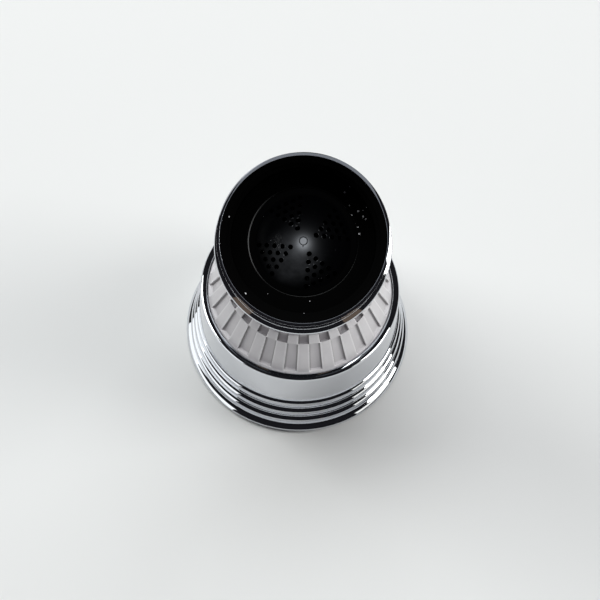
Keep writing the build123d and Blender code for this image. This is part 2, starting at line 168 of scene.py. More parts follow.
class CapSizes(bpy.types.PropertyGroup):
    """Sizes of the white ribbed cap."""
    edge_radius: length("Edge radius", cap_high.x / MM, "Radius of the plain edge")
    base: length("Base", cap_low.z / MM, "Height of the cap's foot")
    edge_height: length("Edge height", 1.1, "Height of the plain edge")
    edge_taper: length("Edge taper", 0.1, "Chamfer above the plain edge")
    tier_rise: length("Tier rise", 5.2, "Height of the lower tier")
    tier_run: length("Tier run", 2.5, "How far the lower tier leans in")
    top_rise: length("Top rise", 0.8, "Height of the upper tier")
    top_run: length("Top run", 0.9, "How far the upper tier leans in")
    ribs: whole("Ribs", 22, "Number of ribs round the cap", 3)
    turn: degrees("Turn", -92.6, "Angle of a groove, from the X axis")
    rib_segments: whole("Rib segments", 8, "Facets across a rib", 4)
    groove_foot: length("Groove foot", 0.18, "Height of the plain strip under the grooves")
    groove_depth: length("Groove depth", 0.55, "Depth of the grooves between the ribs")
    block_drop: length("Block drop", 0.2, "How far the upper blocks reach under the tier's break")
    panel_edge: length("Panel edge", 0.14, "Width of a rib's top edge under a sunk panel")
    panel_ledge: length("Panel ledge", 0.72, "How far a sunk panel lies behind the ribs at its foot")
    panel_drop: length("Panel drop", 0.6, "How far a sunk panel reaches down behind the ribs")
    panel_top: length("Panel top", 0.5, "How far a sunk panel lies behind the blocks at the top")
    roof: length("Roof", 1.3, "Thickness of the roof")
    roof_reach: length("Roof reach", 9.59, "Inner radius at the roof")
    bore: length("Bore", 11.23, "Radius that fits the core's spigot")
    bore_height: length("Bore height", 2.15, "Height of that bore")
    boss_radius: length("Boss radius", 5.4, "Radius of the boss round the stem")
    boss_height: length("Boss height", cap_high.z / MM - 21.0, "Height of that boss")
    stem_hole: length("Stem hole", 4.1, "Radius of the hole for the stem")
    edge_round: length("Edge round", 0.075, "Bevel of the moulded edges")
    edge_steps: whole("Edge steps", 3, "Facets of that bevel")
    edge_angle: degrees("Edge angle", 28, "Faces that meet more sharply than this get that bevel")
    smooth_angle: degrees("Smooth angle", 30, "Faces that meet less sharply than this shade as one")
    # Reach from a rib's side of the painted shade in the corners and of the painted highlight on the edges
    shade_and_highlight_reach: length("Shade and highlight reach", 0.3, "How far from a rib's side its soiling and its clean edge reach")


class CollarSizes(bpy.types.PropertyGroup):
    """Sizes of the chromed sleeve, along the inlet's axis from the ball's centre."""
    rim_radius: length("Rim radius", 12.4, "Outer radius of the rim")
    rim_height: length("Rim height", 15.05, "Height of the rim")
    rim_round: length("Rim round", 0.015, "Setback of the rim's rounds")
    rim_edge: length("Rim edge", 0.06, "Width of the rim's flat edge")
    rim_slope: length("Rim slope", 0.15, "Drop of the slope outside that edge")
    wall: length("Wall", 0.47, "Thickness of the sleeve")
    draft: length("Draft", 0.14, "How much wider the sleeve is at its foot")
    foot: length("Foot", -4.0, "Height of the foot")
    flange: length("Flange", 0.65, "How far the flange stands out")
    flange_rise: length("Flange rise", 0.3, "Height of the flange's slope")
    bead_height: length("Bead height", 0.35, "Height of the bead on the flange's edge")
    bead_depth: length("Bead depth", 0.14, "How far the bead stands out")
    hem: length("Hem", 0.6, "Width of the hem under the socket")
    hem_thickness: length("Hem thickness", 0.4, "Thickness of that hem")
    segments: whole("Segments", 256, "Facets round the sleeve", 32)


class SocketSizes(bpy.types.PropertyGroup):
    """Sizes of the black insert and its washer, along the inlet's axis."""
    outer_top: length("Outer radius at the top", 11.9, "Radius under the rim")
    outer_foot: length("Outer radius at the foot", 12.04, "Radius at the foot")
    top: length("Top", 14.8, "Height of the mouth")
    foot: length("Foot", -3.6, "Height of the foot")
    thread_top: length("Thread top", 14.05, "Height where the mouth's chamfer meets the thread")
    thread_foot: length("Thread foot", 9.85, "Lowest height of the thread")
    minor: length("Minor radius", thread_radius, "Radius of the thread's crests")
    major: length("Major radius", 11.0, "Radius of the thread's roots")
    pitch: length("Pitch", 1.0, "Pitch of the thread")
    turns: whole("Turns", 3, "Full turns of the thread")
    turn_segments: whole("Turn segments", 128, "Facets round a turn of the thread", 32)
    washer_floor: length("Washer floor", 6.0, "Height that the washer lies on")
    washer_inner: length("Washer inner radius", 7.9, "Inner radius of the washer")
    washer_outer: length("Washer outer radius", 10.55, "Outer radius of the washer")
    washer_height: length("Washer height", 1.8, "Thickness of the washer")
    washer_round: length("Washer round", 0.14, "Setback of the washer's rounds")
    washer_segments: whole("Washer segments", 160, "Facets round the washer", 32)
    strainer_seat: length("Strainer seat", 9.28, "Radius of the step for the strainer")
    strainer_floor: length("Strainer floor", 5.2, "Height of that step")
    seat_radius: length("Seat radius", 8.68, "Radius of the room for the ball's seat")
    seat_floor: length("Seat floor", 1.6, "Height of that room's floor")
    ball_bore: length("Ball bore", 6.55, "Radius of the socket of the ball")
    lip_height: length("Lip height", -3.125, "Height of the lip under the ball")
    flare: length("Flare", 6.62, "Radius of the opening under the lip")
    segments: whole("Segments", 192, "Facets round the insert", 32)
    bore_steps: whole("Bore steps", 12, "Facets down the socket of the ball")


class StrainerSizes(bpy.types.PropertyGroup):
    """Sizes of the strainer dome, along the inlet's axis."""
    sphere: length("Sphere", 8.4, "Radius of the dome")
    foot_radius: length("Foot radius", 6.95, "Radius where the dome meets its flange")
    flange_radius: length("Flange radius", 9.25, "Outer radius of the flange")
    floor: length("Floor", 5.2, "Height of the flange's underside")
    thickness: length("Thickness", 0.8, "Wall of the dome and the flange")
    hole: length("Hole", 0.36, "Radius of a hole")
    hole_rim: length("Hole rim", 0.035, "Thickness of the raised rim round a hole")
    pitch: length("Pitch", 1.15, "Distance from one hole to the next")
    first_hole: length("First hole", 2.05, "Distance of a group's first hole from the middle")
    rows: whole("Rows", 5, "Rows of holes in a group")
    groups: whole("Groups", 4, "Groups of holes")
    turn: degrees("Turn", 28.5, "Turn of the groups about the axis")
    gate: length("Gate", 0.56, "Radius of the ring left by the gate")
    gate_ring: length("Gate ring", 0.085, "Thickness of that ring")
    segments: whole("Segments", 160, "Facets round the dome", 32)


class StemSizes(bpy.types.PropertyGroup):
    """Sizes of the ball and its stem."""
    ball: length("Ball", stem_high.x / MM, "Radius of the ball")
    stem: length("Stem", 3.8, "Radius of the stem under the ball")
    journal: length("Journal", 3.4, "Radius of the part that turns in the core")
    shoulder: length("Shoulder", 17.05, "Height of the shoulder that rests on the core")
    bore: length("Bore", 2.1, "Radius of the water way")
    mouth: length("Mouth", 3.6, "Radius of its flared mouth")
    clip_floor: length("Clip floor", 2.95, "Radius of the clip's groove")
    clip_low: length("Clip low", 11.3, "Lower side of the clip's groove")
    clip_high: length("Clip high", 12.0, "Upper side of the clip's groove")
    seal_floor: length("Seal floor", 2.55, "Radius of the seal's groove")
    seal_low: length("Seal low", 14.0, "Lower side of the seal's groove")
    seal_high: length("Seal high", 14.9, "Upper side of the seal's groove")
    plated: length("Plated", stem_high.x / MM / 3, "How far above the ball's centre the plating reaches")
    edge_round: length("Edge round", 0.15, "Setback of the turned edges")
    segments: whole("Segments", 160, "Facets round the ball", 32)
    ball_steps: whole("Ball steps", 48, "Facets up the ball", 8)


class OutletSizes(bpy.types.PropertyGroup):
    """Sizes of the spray plate and its well."""
    radius: length("Radius", plate_high.x / MM, "Outer radius of the plate")
    foot: length("Foot", plate_low.z / MM, "Height of the plate's face")
    thickness: length("Thickness", 1.6, "Thickness of the plate")
    well: length("Well", 9.0, "Outer radius of the well")
    well_wall: length("Well wall", 1.2, "Wall of the well")
    step_width: length("Step width", 0.6, "Step that carries the aerator")
    step_height: length("Step height", 0.5, "Height of that step")
    groove_floor: length("Groove floor", 8.3, "Radius of the seal's groove")
    groove_low: length("Groove low", 5.675, "Lower side of that groove")
    groove_high: length("Groove high", 6.525, "Upper side of that groove")
    hole: length("Hole", 0.55, "Radius of a spray hole")
    inner_row: length("Inner row", 10.584, "Radius of the inner row of holes")
    outer_row: length("Outer row", 12.52, "Radius of the outer row of holes")
    inner_count: whole("Inner count", 14, "Holes in the inner row")
    outer_count: whole("Outer count", 20, "Holes in the outer row")
    edge_round: length("Edge round", 0.12, "Setback of the moulded edges")
    segments: whole("Segments", 144, "Facets round the plate", 32)


class FinishColours(bpy.types.PropertyGroup):
    """Colours of the finishes."""
    chrome: colour("Chrome", 0.70, 0.715, 0.75, "Plated skirt, collar and ball")
    white: colour("White plastic", 0.80, 0.785, 0.795, "Ribbed cap")
    # Colour of faint soiling at random, and also of the painted shade in the cap's recesses
    grime: colour("Grime", 0.53, 0.51, 0.525, "Faint soiling of the white plastic")
    # Painted shade: colour of the corners at the feet of the cap's ribs, where shade falls
    corner: colour("Corners", 0.26, 0.25, 0.255, "Soiling at the feet of the cap's ribs")
    # Painted highlight: colour of the ribs' edges, lighter where they catch the light
    edge: colour("Edges", 0.97, 0.96, 0.965, "Clean edges of the cap's ribs")
    natural: colour("Natural plastic", 0.78, 0.77, 0.73, "Inner pieces")
    outlet: colour("Outlet plastic", 0.80, 0.80, 0.79, "Spray plate and grid")
    black: colour("Black plastic", 0.002, 0.002, 0.002, "Insert of the collar")
    strainer: colour("Strainer plastic", 0.001, 0.0011, 0.0014, "Dome of the strainer")
    rubber: colour("Rubber", 0.0025, 0.0025, 0.0025, "Washer and seals")
    steel: colour("Steel", 0.60, 0.60, 0.59, "Screens and clip")
    # Painted highlight: lighter colour on one side of the washer's inner edge, where it catches the light
    worn: colour("Worn rubber", 0.17, 0.17, 0.17, "Worn edge of the washer")
    dust: colour("Dust", 0.74, 0.74, 0.75, "Specks of dust")


class StageLook(bpy.types.PropertyGroup):
    """Floor, lights and camera."""
    floor_size: length("Floor size", 4000, "Side of the floor")
    floor_drop: length("Floor drop", 0.01, "How far the floor lies under the base")
    floor: colour("Floor", 0.83, 0.83, 0.82, "Pale floor")
    room: colour("Room", 0.012, 0.012, 0.014, "Dim room that the object reflects")
    backdrop: colour("Backdrop", 0.7, 0.7, 0.7, "What the camera sees beyond the floor")
    lens: plain("Lens", 151.2, "Focal length in millimetres")
    distance: length("Distance", 400, "From the camera to the base's centre")
    elevation: degrees("Elevation", 65.28, "Camera's angle above the floor")
    roll: degrees("Roll", 4.03, "Camera's turn about its own axis")
    base_across: plain("Base across", 297.1, "Pixel column of the base's centre")
    base_down: plain("Base down", 330.1, "Pixel row of the base's centre")


SETTINGS = {
    "aerator_skirt": SkirtSizes,
    "aerator_cap": CapSizes,
    "aerator_collar": CollarSizes,
    "aerator_socket": SocketSizes,
    "aerator_strainer": StrainerSizes,
    "aerator_stem": StemSizes,
    "aerator_outlet": OutletSizes,
    "aerator_colours": FinishColours,
    "aerator_stage": StageLook,
}


# Modelling
def clear_selection():
    """Leave edit mode with nothing selected."""
    if bpy.context.mode != "OBJECT":
        bpy.ops.object.mode_set(mode="OBJECT")
    bpy.ops.object.select_all(action="DESELECT")


def only_selected(*pieces):
    """Select these pieces and nothing else; the first is active."""
    clear_selection()
    for piece in pieces:
        piece.select_set(True)
    bpy.context.view_layer.objects.active = pieces[0]


def select(kind, action):
    """Select or deselect all of the edited piece, by its vertices, edges or faces."""
    bpy.ops.mesh.select_mode(type=kind)
    bpy.ops.mesh.select_all(action=action)


def new_piece(name, add, **shape):
    """Add a primitive with nothing else selected, and open it in edit mode."""
    clear_selection()
    add(**shape)
    piece = bpy.context.object
    piece.name = piece.data.name = name
    bpy.ops.object.mode_set(mode="EDIT")
    select("VERT", "SELECT")
    return piece


def pick(piece, kind, test):
    """Select the vertices, edges or faces of the edited piece that pass a test."""
    select(kind, "DESELECT")
    mesh = bmesh.from_edit_mesh(piece.data)
    for element in {"VERT": mesh.verts, "EDGE": mesh.edges, "FACE": mesh.faces}[kind]:
        if test(element):
            element.select_set(True)
    mesh.select_flush_mode()
    bmesh.update_edit_mesh(piece.data)


def pick_points(piece, places):
    """Select the vertices of the edited piece that lie at some places."""
    pick(piece, "VERT", lambda vert: any((vert.co - place).length < MERGE for place in places))


def draw_section(name, corners):
    """Closed outline in the XZ plane from (radius, height) corners, each with an optional round."""
    corners = list(corners)
    points = [Vector((corner[0], 0, corner[1])) for corner in corners]
    piece = new_piece(name, bpy.ops.mesh.primitive_plane_add, size=MM)
    bpy.ops.mesh.merge(type="CENTER")
    bpy.ops.transform.translate(value=points[0])
    for last, point in zip(points, points[1:]):
        bpy.ops.mesh.extrude_vertices_move(TRANSFORM_OT_translate={"value": point - last})
    pick_points(piece, (points[0], points[-1]))
    bpy.ops.mesh.edge_face_add()
    for setback in sorted({corner[2] for corner in corners if len(corner) > 2}):
        pick_points(piece, [point for point, corner in zip(points, corners) if corner[2:] == (setback,)])
        bpy.ops.mesh.bevel(
            offset=setback, offset_type="OFFSET", segments=ROUND_STEPS, affect="VERTICES",
            clamp_overlap=False)
    return piece


def tidy_mesh():
    """Merge doubled points of the edited piece and turn its faces outwards."""
    select("VERT", "SELECT")
    bpy.ops.mesh.remove_doubles(threshold=MERGE)
    bpy.ops.mesh.normals_make_consistent(inside=False)


def turned(name, corners, segments):
    """Piece turned about Z from a section, left in edit mode."""
    piece = draw_section(name, corners)
    bpy.ops.mesh.select_all(action="SELECT")
    bpy.ops.mesh.spin(steps=segments, angle=math.tau, center=(0, 0, 0), axis=(0, 0, 1))
    tidy_mesh()
    return piece


def arc(radius, centre, start, end, steps):
    """Section points on a circle about the axis, from one angle above the horizon to another."""
    for step in range(steps + 1):
        angle = start + (end - start) * step / steps
        yield radius * math.cos(angle), centre + radius * math.sin(angle)


def on_ring(edge, radius, height):
    """Whether an edge lies on a circle about the axis."""
    return all(
        abs(vert.co.xy.length - radius) < NEAR and abs(vert.co.z - height) < NEAR for vert in edge.verts)


def sweep(start, path):
    """Extrude the selected arcs, which lie on one circle, along (radius, height) points."""
    radius, height = start
    for next_radius, next_height in path:
        bpy.ops.mesh.extrude_region_move(TRANSFORM_OT_translate={"value": (0, 0, next_height - height)})
        scale = next_radius / radius
        bpy.ops.transform.resize(value=(scale, scale, 1), center_override=(0, 0, 0))
        radius, height = next_radius, next_height


def fill_openings():
    """Close every open loop of the edited piece."""
    select("EDGE", "DESELECT")
    bpy.ops.mesh.select_non_manifold(
        extend=False, use_wire=False, use_boundary=True, use_multi_face=False, use_non_contiguous=False,
        use_verts=False)
    bpy.ops.mesh.fill_holes(sides=0)


def apply_modifier(piece, kind, **settings):
    """Add a modifier to the active piece and apply it."""
    bpy.ops.object.modifier_add(type=kind)
    modifier = piece.modifiers[-1]
    for name, value in settings.items():
        setattr(modifier, name, value)
    bpy.ops.object.modifier_apply(modifier=modifier.name)


def join(piece, *others):
    """Join other pieces into one."""
    only_selected(piece, *others)
    bpy.ops.object.join()


def copy_to(places, height):
    """Shift the selected shape to the first of some places at a height, and copies of it to the others."""
    here = Vector((0, 0, 0))
    for index, (across, along) in enumerate(places):
        place = Vector((across, along, height))
        if index:
            bpy.ops.mesh.duplicate_move(TRANSFORM_OT_translate={"value": place - here})
        else:
            bpy.ops.transform.translate(value=place)
        here = place


def drill(piece, radius, places, low, high):
    """Cut round holes along Z through a piece."""
    cutter = new_piece(
        "drill", bpy.ops.mesh.primitive_cylinder_add, vertices=HOLE_SIDES, radius=radius, depth=high - low)
    copy_to(places, (low + high) / 2)
    only_selected(piece)
    apply_modifier(piece, "BOOLEAN", object=cutter, operation="DIFFERENCE", solver="EXACT")
    bpy.data.objects.remove(cutter)


def finish_piece(piece, finish, body, node, tipped=False, smooth=SMOOTH_ANGLE):
    """Put a piece in its place, shade it, give it its finish, tie it to its body and hide the CAD node that it
    stands for.
    """
    only_selected(piece)
    if tipped:
        piece.matrix_world = collar_place
        bpy.ops.object.transform_apply(location=True, rotation=True, scale=True)
    bpy.ops.object.shade_smooth_by_angle(angle=smooth)
    apply_modifier(piece, "WEIGHTED_NORMAL", keep_sharp=True)
    piece.data.materials.clear()
    piece.data.materials.append(finish)
    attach(piece, body)
    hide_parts(node)


# Nodes
def feed(tree, inputs, values):
    """Link sockets to a node's inputs, or set constants on them."""
    for label, value in values.items():
        if isinstance(value, bpy.types.NodeSocket):
            tree.links.new(value, inputs[label])
        else:
            inputs[label].default_value = value


def add_node(tree, kind, values, **settings):
    """Add a shader node with its settings, then feed its inputs."""
    node = tree.nodes.new(f"ShaderNode{kind}")
    for name, value in settings.items():
        setattr(node, name, value)
    feed(tree, node.inputs, values)
    return node


def calculate(tree, operation, first, second=0):
    """Result of a math node between two sockets or numbers."""
    return add_node(tree, "Math", {0: first, 1: second}, operation=operation).outputs[0]


def times(tree, first, second):
    """Product of two sockets or numbers."""
    return calculate(tree, "MULTIPLY", first, second)


def spread(tree, value, from_low, from_high, to_low=0, to_high=1, **settings):
    """Value mapped from one range to another, and held within it."""
    ranges = {"From Min": from_low, "From Max": from_high, "To Min": to_low, "To Max": to_high}
    return add_node(tree, "MapRange", {"Value": value, **ranges}, **settings).outputs["Result"]


def object_place(tree):
    """Object coordinates."""
    return tree.nodes.new("ShaderNodeTexCoord").outputs["Object"]


def split_place(tree, place):
    """X, Y and Z of a place."""
    return add_node(tree, "SeparateXYZ", {"Vector": place}).outputs


def from_axis(tree, split):
    """Distance of a split place from its Z axis."""
    across, along = (calculate(tree, "POWER", split[label], 2) for label in "XY")
    return calculate(tree, "SQRT", calculate(tree, "ADD", across, along))


def blend_colour(tree, factor, first, second):
    """Mix two colours by a mask; either may be a socket."""
    first, second = (
        value if isinstance(value, bpy.types.NodeSocket) else (*value, 1) for value in (first, second))
    colours = {"Factor": factor, MIX_FIRST: first, MIX_SECOND: second}
    return add_node(tree, "Mix", colours, data_type="RGBA").outputs[MIX_RESULT]


# Shared effects of the finishes
def shared_effect(output, *inputs):
    """Make a drawing of nodes a shader group, built once, and its function one that places it in a tree."""
    def share(draw):
        @functools.wraps(draw)
        def place(tree, **values):
            name = draw.__name__.replace("_", " ").capitalize()
            group = bpy.data.node_groups.get(name)
            if not group:
                group = bpy.data.node_groups.new(name, "ShaderNodeTree")
                for label in inputs:
                    group.interface.new_socket(label, in_out="INPUT", socket_type="NodeSocketFloat")
                group.interface.new_socket(output, in_out="OUTPUT", socket_type="NodeSocketFloat")
                given = group.nodes.new("NodeGroupInput").outputs
                result = group.nodes.new("NodeGroupOutput").inputs
                group.links.new(draw(group, given), result[output])
            return add_node(tree, "Group", values, node_tree=group).outputs[output]
        return place
    return share


@shared_effect("Mask", "Scale", "Size", "Share")
def dust_specks(tree, given):
    """Mask of scattered specks: one in some cells of a cell pattern, each of its own size."""
    place = object_place(tree)
    cells = add_node(tree, "TexVoronoi", {"Vector": place, "Scale": given["Scale"]}).outputs
    chance = add_node(tree, "SeparateColor", {"Color": cells["Color"]}).outputs
    wide = calculate(tree, "DIVIDE", given["Scale"], DRIFT_CELLS)
    drift = add_node(tree, "TexNoise", {"Vector": place, "Scale": wide}).outputs["Fac"]
    gathered = times(tree, calculate(tree, "POWER", drift, DRIFT_POWER), DRIFT_GAIN)
    chosen = calculate(tree, "LESS_THAN", chance["Red"], times(tree, gathered, given["Share"]))
    reach = times(tree, chance["Green"], given["Size"])
    return times(tree, chosen, calculate(tree, "LESS_THAN", cells["Distance"], reach))


@shared_effect("Value", "Scale", "Low", "High")
def cloudy(tree, given):
    """Value that wanders between two levels, for haze, smears and soiling."""
    pattern = {"Vector": object_place(tree), "Scale": given["Scale"], "Detail": 5, "Roughness": 0.6}
    noise = add_node(tree, "TexNoise", pattern).outputs["Fac"]
    return spread(tree, noise, *CLOUD_RANGE, given["Low"], given["High"])


@shared_effect("Radius")
def inlet_radius(tree, given):
    """Distance from the inlet's axis."""
    untip = {"Vector": object_place(tree), "Location": pivot, "Rotation": collar_place.to_euler()}
    untipped = add_node(tree, "Mapping", untip, vector_type="TEXTURE").outputs["Vector"]
    return from_axis(tree, split_place(tree, untipped))


@shared_effect("Mask", "Lower radius", "Lower lean", "Upper radius", "Upper lean")
def sunk(tree, given):
    """Mask of what lies behind two sloped tiers about the vertical axis."""
    split = split_place(tree, object_place(tree))
    lower, upper = (
        calculate(tree, "SUBTRACT", given[f"{tier} radius"], times(tree, given[f"{tier} lean"], split["Z"]))
        for tier in ("Lower", "Upper"))
    surface = calculate(tree, "MINIMUM", lower, upper)
    return spread(tree, calculate(tree, "SUBTRACT", surface, from_axis(tree, split)), *SUNK_RANGE)


@shared_effect("Mask", "Ribs", "Turn", "Reach")
def rib_walls(tree, given):
    """Mask along both side walls of evenly spaced grooves about the vertical axis."""
    split = split_place(tree, object_place(tree))
    bearing = calculate(tree, "ARCTAN2", split["Y"], split["X"])
    share = calculate(tree, "DIVIDE", given["Ribs"], math.tau)
    pitches = times(tree, calculate(tree, "SUBTRACT", bearing, given["Turn"]), share)
    from_middle = calculate(tree, "PINGPONG", pitches, 1 / 2)
    from_wall = calculate(tree, "ABSOLUTE", calculate(tree, "SUBTRACT", from_middle, 1 / 4))
    distance = calculate(tree, "DIVIDE", times(tree, from_wall, from_axis(tree, split)), share)
    return spread(tree, distance, 0, given["Reach"], 1, 0)


@shared_effect("Mask", "Foot", "Top")
def height_band(tree, given):
    """Mask of what lies between two heights."""
    height = split_place(tree, object_place(tree))["Z"]
    above = calculate(tree, "GREATER_THAN", height, given["Foot"])
    return times(tree, above, calculate(tree, "LESS_THAN", height, given["Top"]))


@shared_effect("Mask", "X", "Y", "Z", "Reach")
def nearness(tree, given):
    """Mask that fades from one at a place to nothing at a reach from it."""
    middle = add_node(tree, "CombineXYZ", {label: given[label] for label in "XYZ"}).outputs["Vector"]
    away = add_node(tree, "VectorMath", {0: object_place(tree), 1: middle}, operation="DISTANCE")
    return spread(tree, away.outputs["Value"], 0, given["Reach"], 1, 0, interpolation_type="SMOOTHSTEP")


def near_place(tree, across, along, height, reach):
    """Mask round a place in the inlet, given in millimetres on the inlet's own axes."""
    spot = collar_place @ (MM * Vector((across, along, height)))
    return nearness(tree, X=spot.x, Y=spot.y, Z=spot.z, Reach=reach * MM)


def inlet_dust(tree):
    """Specks of dust in the inlet, gathered at one side of the washer."""
    gathered = times(tree, near_place(tree, *DUST_PLACE), DUST_GATHERED)
    share = calculate(tree, "ADD", gathered, DUST_EVERYWHERE)
    return dust_specks(tree, Scale=1300, Size=0.29, Share=share)


def grain(tree, scale, depth):
    """Normal of a fine grain, its depth in millimetres."""
    height = cloudy(tree, Scale=scale, Low=0.0, High=1.0)
    return add_node(tree, "Bump", {"Height": height, "Distance": depth * MM}).outputs["Normal"]


# Finishes
def shared_finish(name, **constants):
    """Make a function that says what feeds a Principled shader one that gives a material, built once."""
    def share(draw):
        @functools.wraps(draw)
        def give(*values):
            label = f"fine_{name}"
            material = bpy.data.materials.get(label)
            if not material:
                material = bpy.data.materials.new(label)
                material.use_nodes = True
                tree = material.node_tree
                feeds = {**constants, **draw(tree, *values)}
                feeds = {socket.replace("_", " "): value for socket, value in feeds.items()}
                feed(tree, tree.nodes["Principled BSDF"].inputs, feeds)
            return material
        return give
    return share


@shared_finish("chrome", Metallic=1.0)
def chrome_finish(tree, colours):
    """Polished plating with a light haze and a few specks."""
    specks = dust_specks(tree, Scale=700, Size=0.1, Share=0.05)
    return dict(
        Base_Color=blend_colour(tree, specks, colours.chrome, colours.dust),
        Roughness=cloudy(tree, Scale=260, Low=0.025, High=0.055))


@shared_finish("ball_chrome", Specular_IOR_Level=0.0)
def ball_finish(tree, colours, plated_to):
    """Plating that stops at the mouth of the ball, where the moulding stays black."""
    height = split_place(tree, object_place(tree))["Z"]
    plated = calculate(tree, "LESS_THAN", height, plated_to)
    return dict(
        Base_Color=blend_colour(tree, plated, colours.black, colours.chrome), Metallic=plated,
        Roughness=cloudy(tree, Scale=260, Low=0.03, High=0.08))


@shared_finish("white_plastic", Specular_IOR_Level=0.4)
def white_finish(tree, colours, slopes, ribs, heights):
    """Satin moulded plastic with faint random soiling, painted shade in its recesses and in the corners at the
    ribs, and a painted highlight on the ribs' edges.
    """
    band = height_band(tree, **heights)
    depth = times(tree, sunk(tree, **slopes), band)
    # Painted shade in the cap's recesses: darker with depth, and darkest at their feet, where shadow falls
    foot = times(tree, calculate(tree, "POWER", depth, FOOT_POWER), FOOT_SHADE)
    recess_shade = calculate(tree, "ADD", times(tree, depth, RECESS_SHADE), foot)
    # Faint random soiling, with that painted shade added
    soil_and_shade = calculate(tree, "ADD", cloudy(tree, Scale=420, Low=0.0, High=0.16), recess_shade)
    tone = blend_colour(tree, soil_and_shade, colours.white, colours.grime)
    wall = times(tree, rib_walls(tree, **ribs), band)
    # Painted shade in the corners where the ribs' side walls meet the sunk faces
    corner = times(tree, wall, calculate(tree, "GREATER_THAN", depth, CORNER_DEPTH))
    tone = blend_colour(tree, times(tree, corner, CORNER_SHADE), tone, colours.corner)
    # Painted highlight on the ribs' outer edges
    edge = times(tree, wall, calculate(tree, "LESS_THAN", depth, EDGE_DEPTH))
    return dict(
        Base_Color=blend_colour(tree, times(tree, edge, EDGE_HIGHLIGHT), tone, colours.edge),
        Roughness=cloudy(tree, Scale=900, Low=0.36, High=0.5), Normal=grain(tree, 2600, 0.004))


def moulded(tree, colours, tint, low, high):
    """What plain moulded plastic feeds, its roughness between two levels."""
    shade = cloudy(tree, Scale=300, Low=0.0, High=0.2)
    return dict(
        Base_Color=blend_colour(tree, shade, tint, colours.grime),
        Roughness=cloudy(tree, Scale=700, Low=low, High=high), Normal=grain(tree, 2200, 0.004))


@shared_finish("outlet_plastic", Specular_IOR_Level=0.4)
def outlet_finish(tree, colours):
    """Moulded plastic of the spray plate and the grid."""
    return moulded(tree, colours, colours.outlet, 0.36, 0.48)


@shared_finish("inner_plastic", Specular_IOR_Level=0.4)
def inner_finish(tree, colours):
    """Moulded plastic of the inner pieces."""
    return moulded(tree, colours, colours.natural, 0.39, 0.51)


@shared_finish("black_plastic", Specular_IOR_Level=0.0)
def black_finish(tree, colours):
    """Black moulded plastic with specks of dust."""
    return dict(
        Base_Color=blend_colour(tree, inlet_dust(tree), colours.black, colours.dust),
        Roughness=cloudy(tree, Scale=600, Low=0.3, High=0.45))


@shared_finish("strainer_plastic", Specular_IOR_Level=0.0, Coat_Roughness=0.32)
def strainer_finish(tree, colours, dome_radius):
    """Dark moulded plastic, glossy on the dome and matt on the flange, with specks of dust and a painted
    highlight: a faint pale layer beside the pole that widens the dome's highlight.
    """
    # Painted highlight: a faint pale layer near the pole that spreads the dome's highlight
    highlight_film = times(tree, cloudy(tree, Scale=520, Low=0.03, High=0.09), near_place(tree, *HIGHLIGHT_FILM_PLACE))
    dust_and_highlight = calculate(tree, "MAXIMUM", highlight_film, dust_specks(tree, Scale=1500, Size=0.12, Share=0.06))
    dome = calculate(tree, "LESS_THAN", inlet_radius(tree), dome_radius)
    clean = blend_colour(tree, dome, colours.black, colours.strainer)
    return dict(
        Base_Color=blend_colour(tree, times(tree, dust_and_highlight, dome), clean, colours.dust), Coat_Weight=dome,
        Roughness=cloudy(tree, Scale=800, Low=0.29, High=0.35), Normal=grain(tree, 1800, 0.006))


@shared_finish("rubber", Specular_IOR_Level=0.12)
def rubber_finish(tree, colours):
    """Black rubber with specks of dust."""
    specks = dust_specks(tree, Scale=1600, Size=0.22, Share=0.12)
    return dict(
        Base_Color=blend_colour(tree, specks, colours.rubber, colours.dust),
        Roughness=cloudy(tree, Scale=700, Low=0.3, High=0.42))


@shared_finish("washer_rubber", Specular_IOR_Level=0.0, Coat_Roughness=0.26)
def washer_finish(tree, colours, edge_radius):
    """Black rubber with specks of dust, matt but for a glossy inner edge, and a painted highlight: a lighter
    colour on one side of that edge.
    """
    edge = calculate(tree, "LESS_THAN", inlet_radius(tree), edge_radius)
    # Painted highlight: the inner edge is lighter on one side, where it catches the light
    worn = times(tree, edge, near_place(tree, *HIGHLIGHT_PLACE))
    rubber_and_highlight = blend_colour(tree, worn, colours.rubber, colours.worn)
    return dict(
        Base_Color=blend_colour(tree, inlet_dust(tree), rubber_and_highlight, colours.dust),
        Coat_Weight=times(tree, edge, WEAR_GLOSS), Roughness=cloudy(tree, Scale=700, Low=0.2, High=0.32))


@shared_finish("steel", Metallic=1.0)
def steel_finish(tree, colours):
    """Stainless steel of the screens and the clip."""
    shade = cloudy(tree, Scale=800, Low=0.0, High=0.25)
    return dict(
        Base_Color=blend_colour(tree, shade, colours.steel, colours.grime),
        Roughness=cloudy(tree, Scale=1200, Low=0.22, High=0.38))


@shared_finish("pale_floor", Roughness=0.85, Specular_IOR_Level=0.2)
def floor_finish(tree, look):
    """Pale paper-like floor."""
    shade = cloudy(tree, Scale=24, Low=0.0, High=0.06)
    darker = [FLOOR_SHADE * part for part in look.floor]
    return dict(Base_Color=blend_colour(tree, shade, look.floor, darker))


def paint_nodes(finish, *nodes):
    """Give CAD nodes that stay in view a finish."""
    for name in nodes:
        node = frame["nodes"][name]
        if node.material_slots:
            node.material_slots[0].material = finish
        else:
            node.data.materials.append(finish)


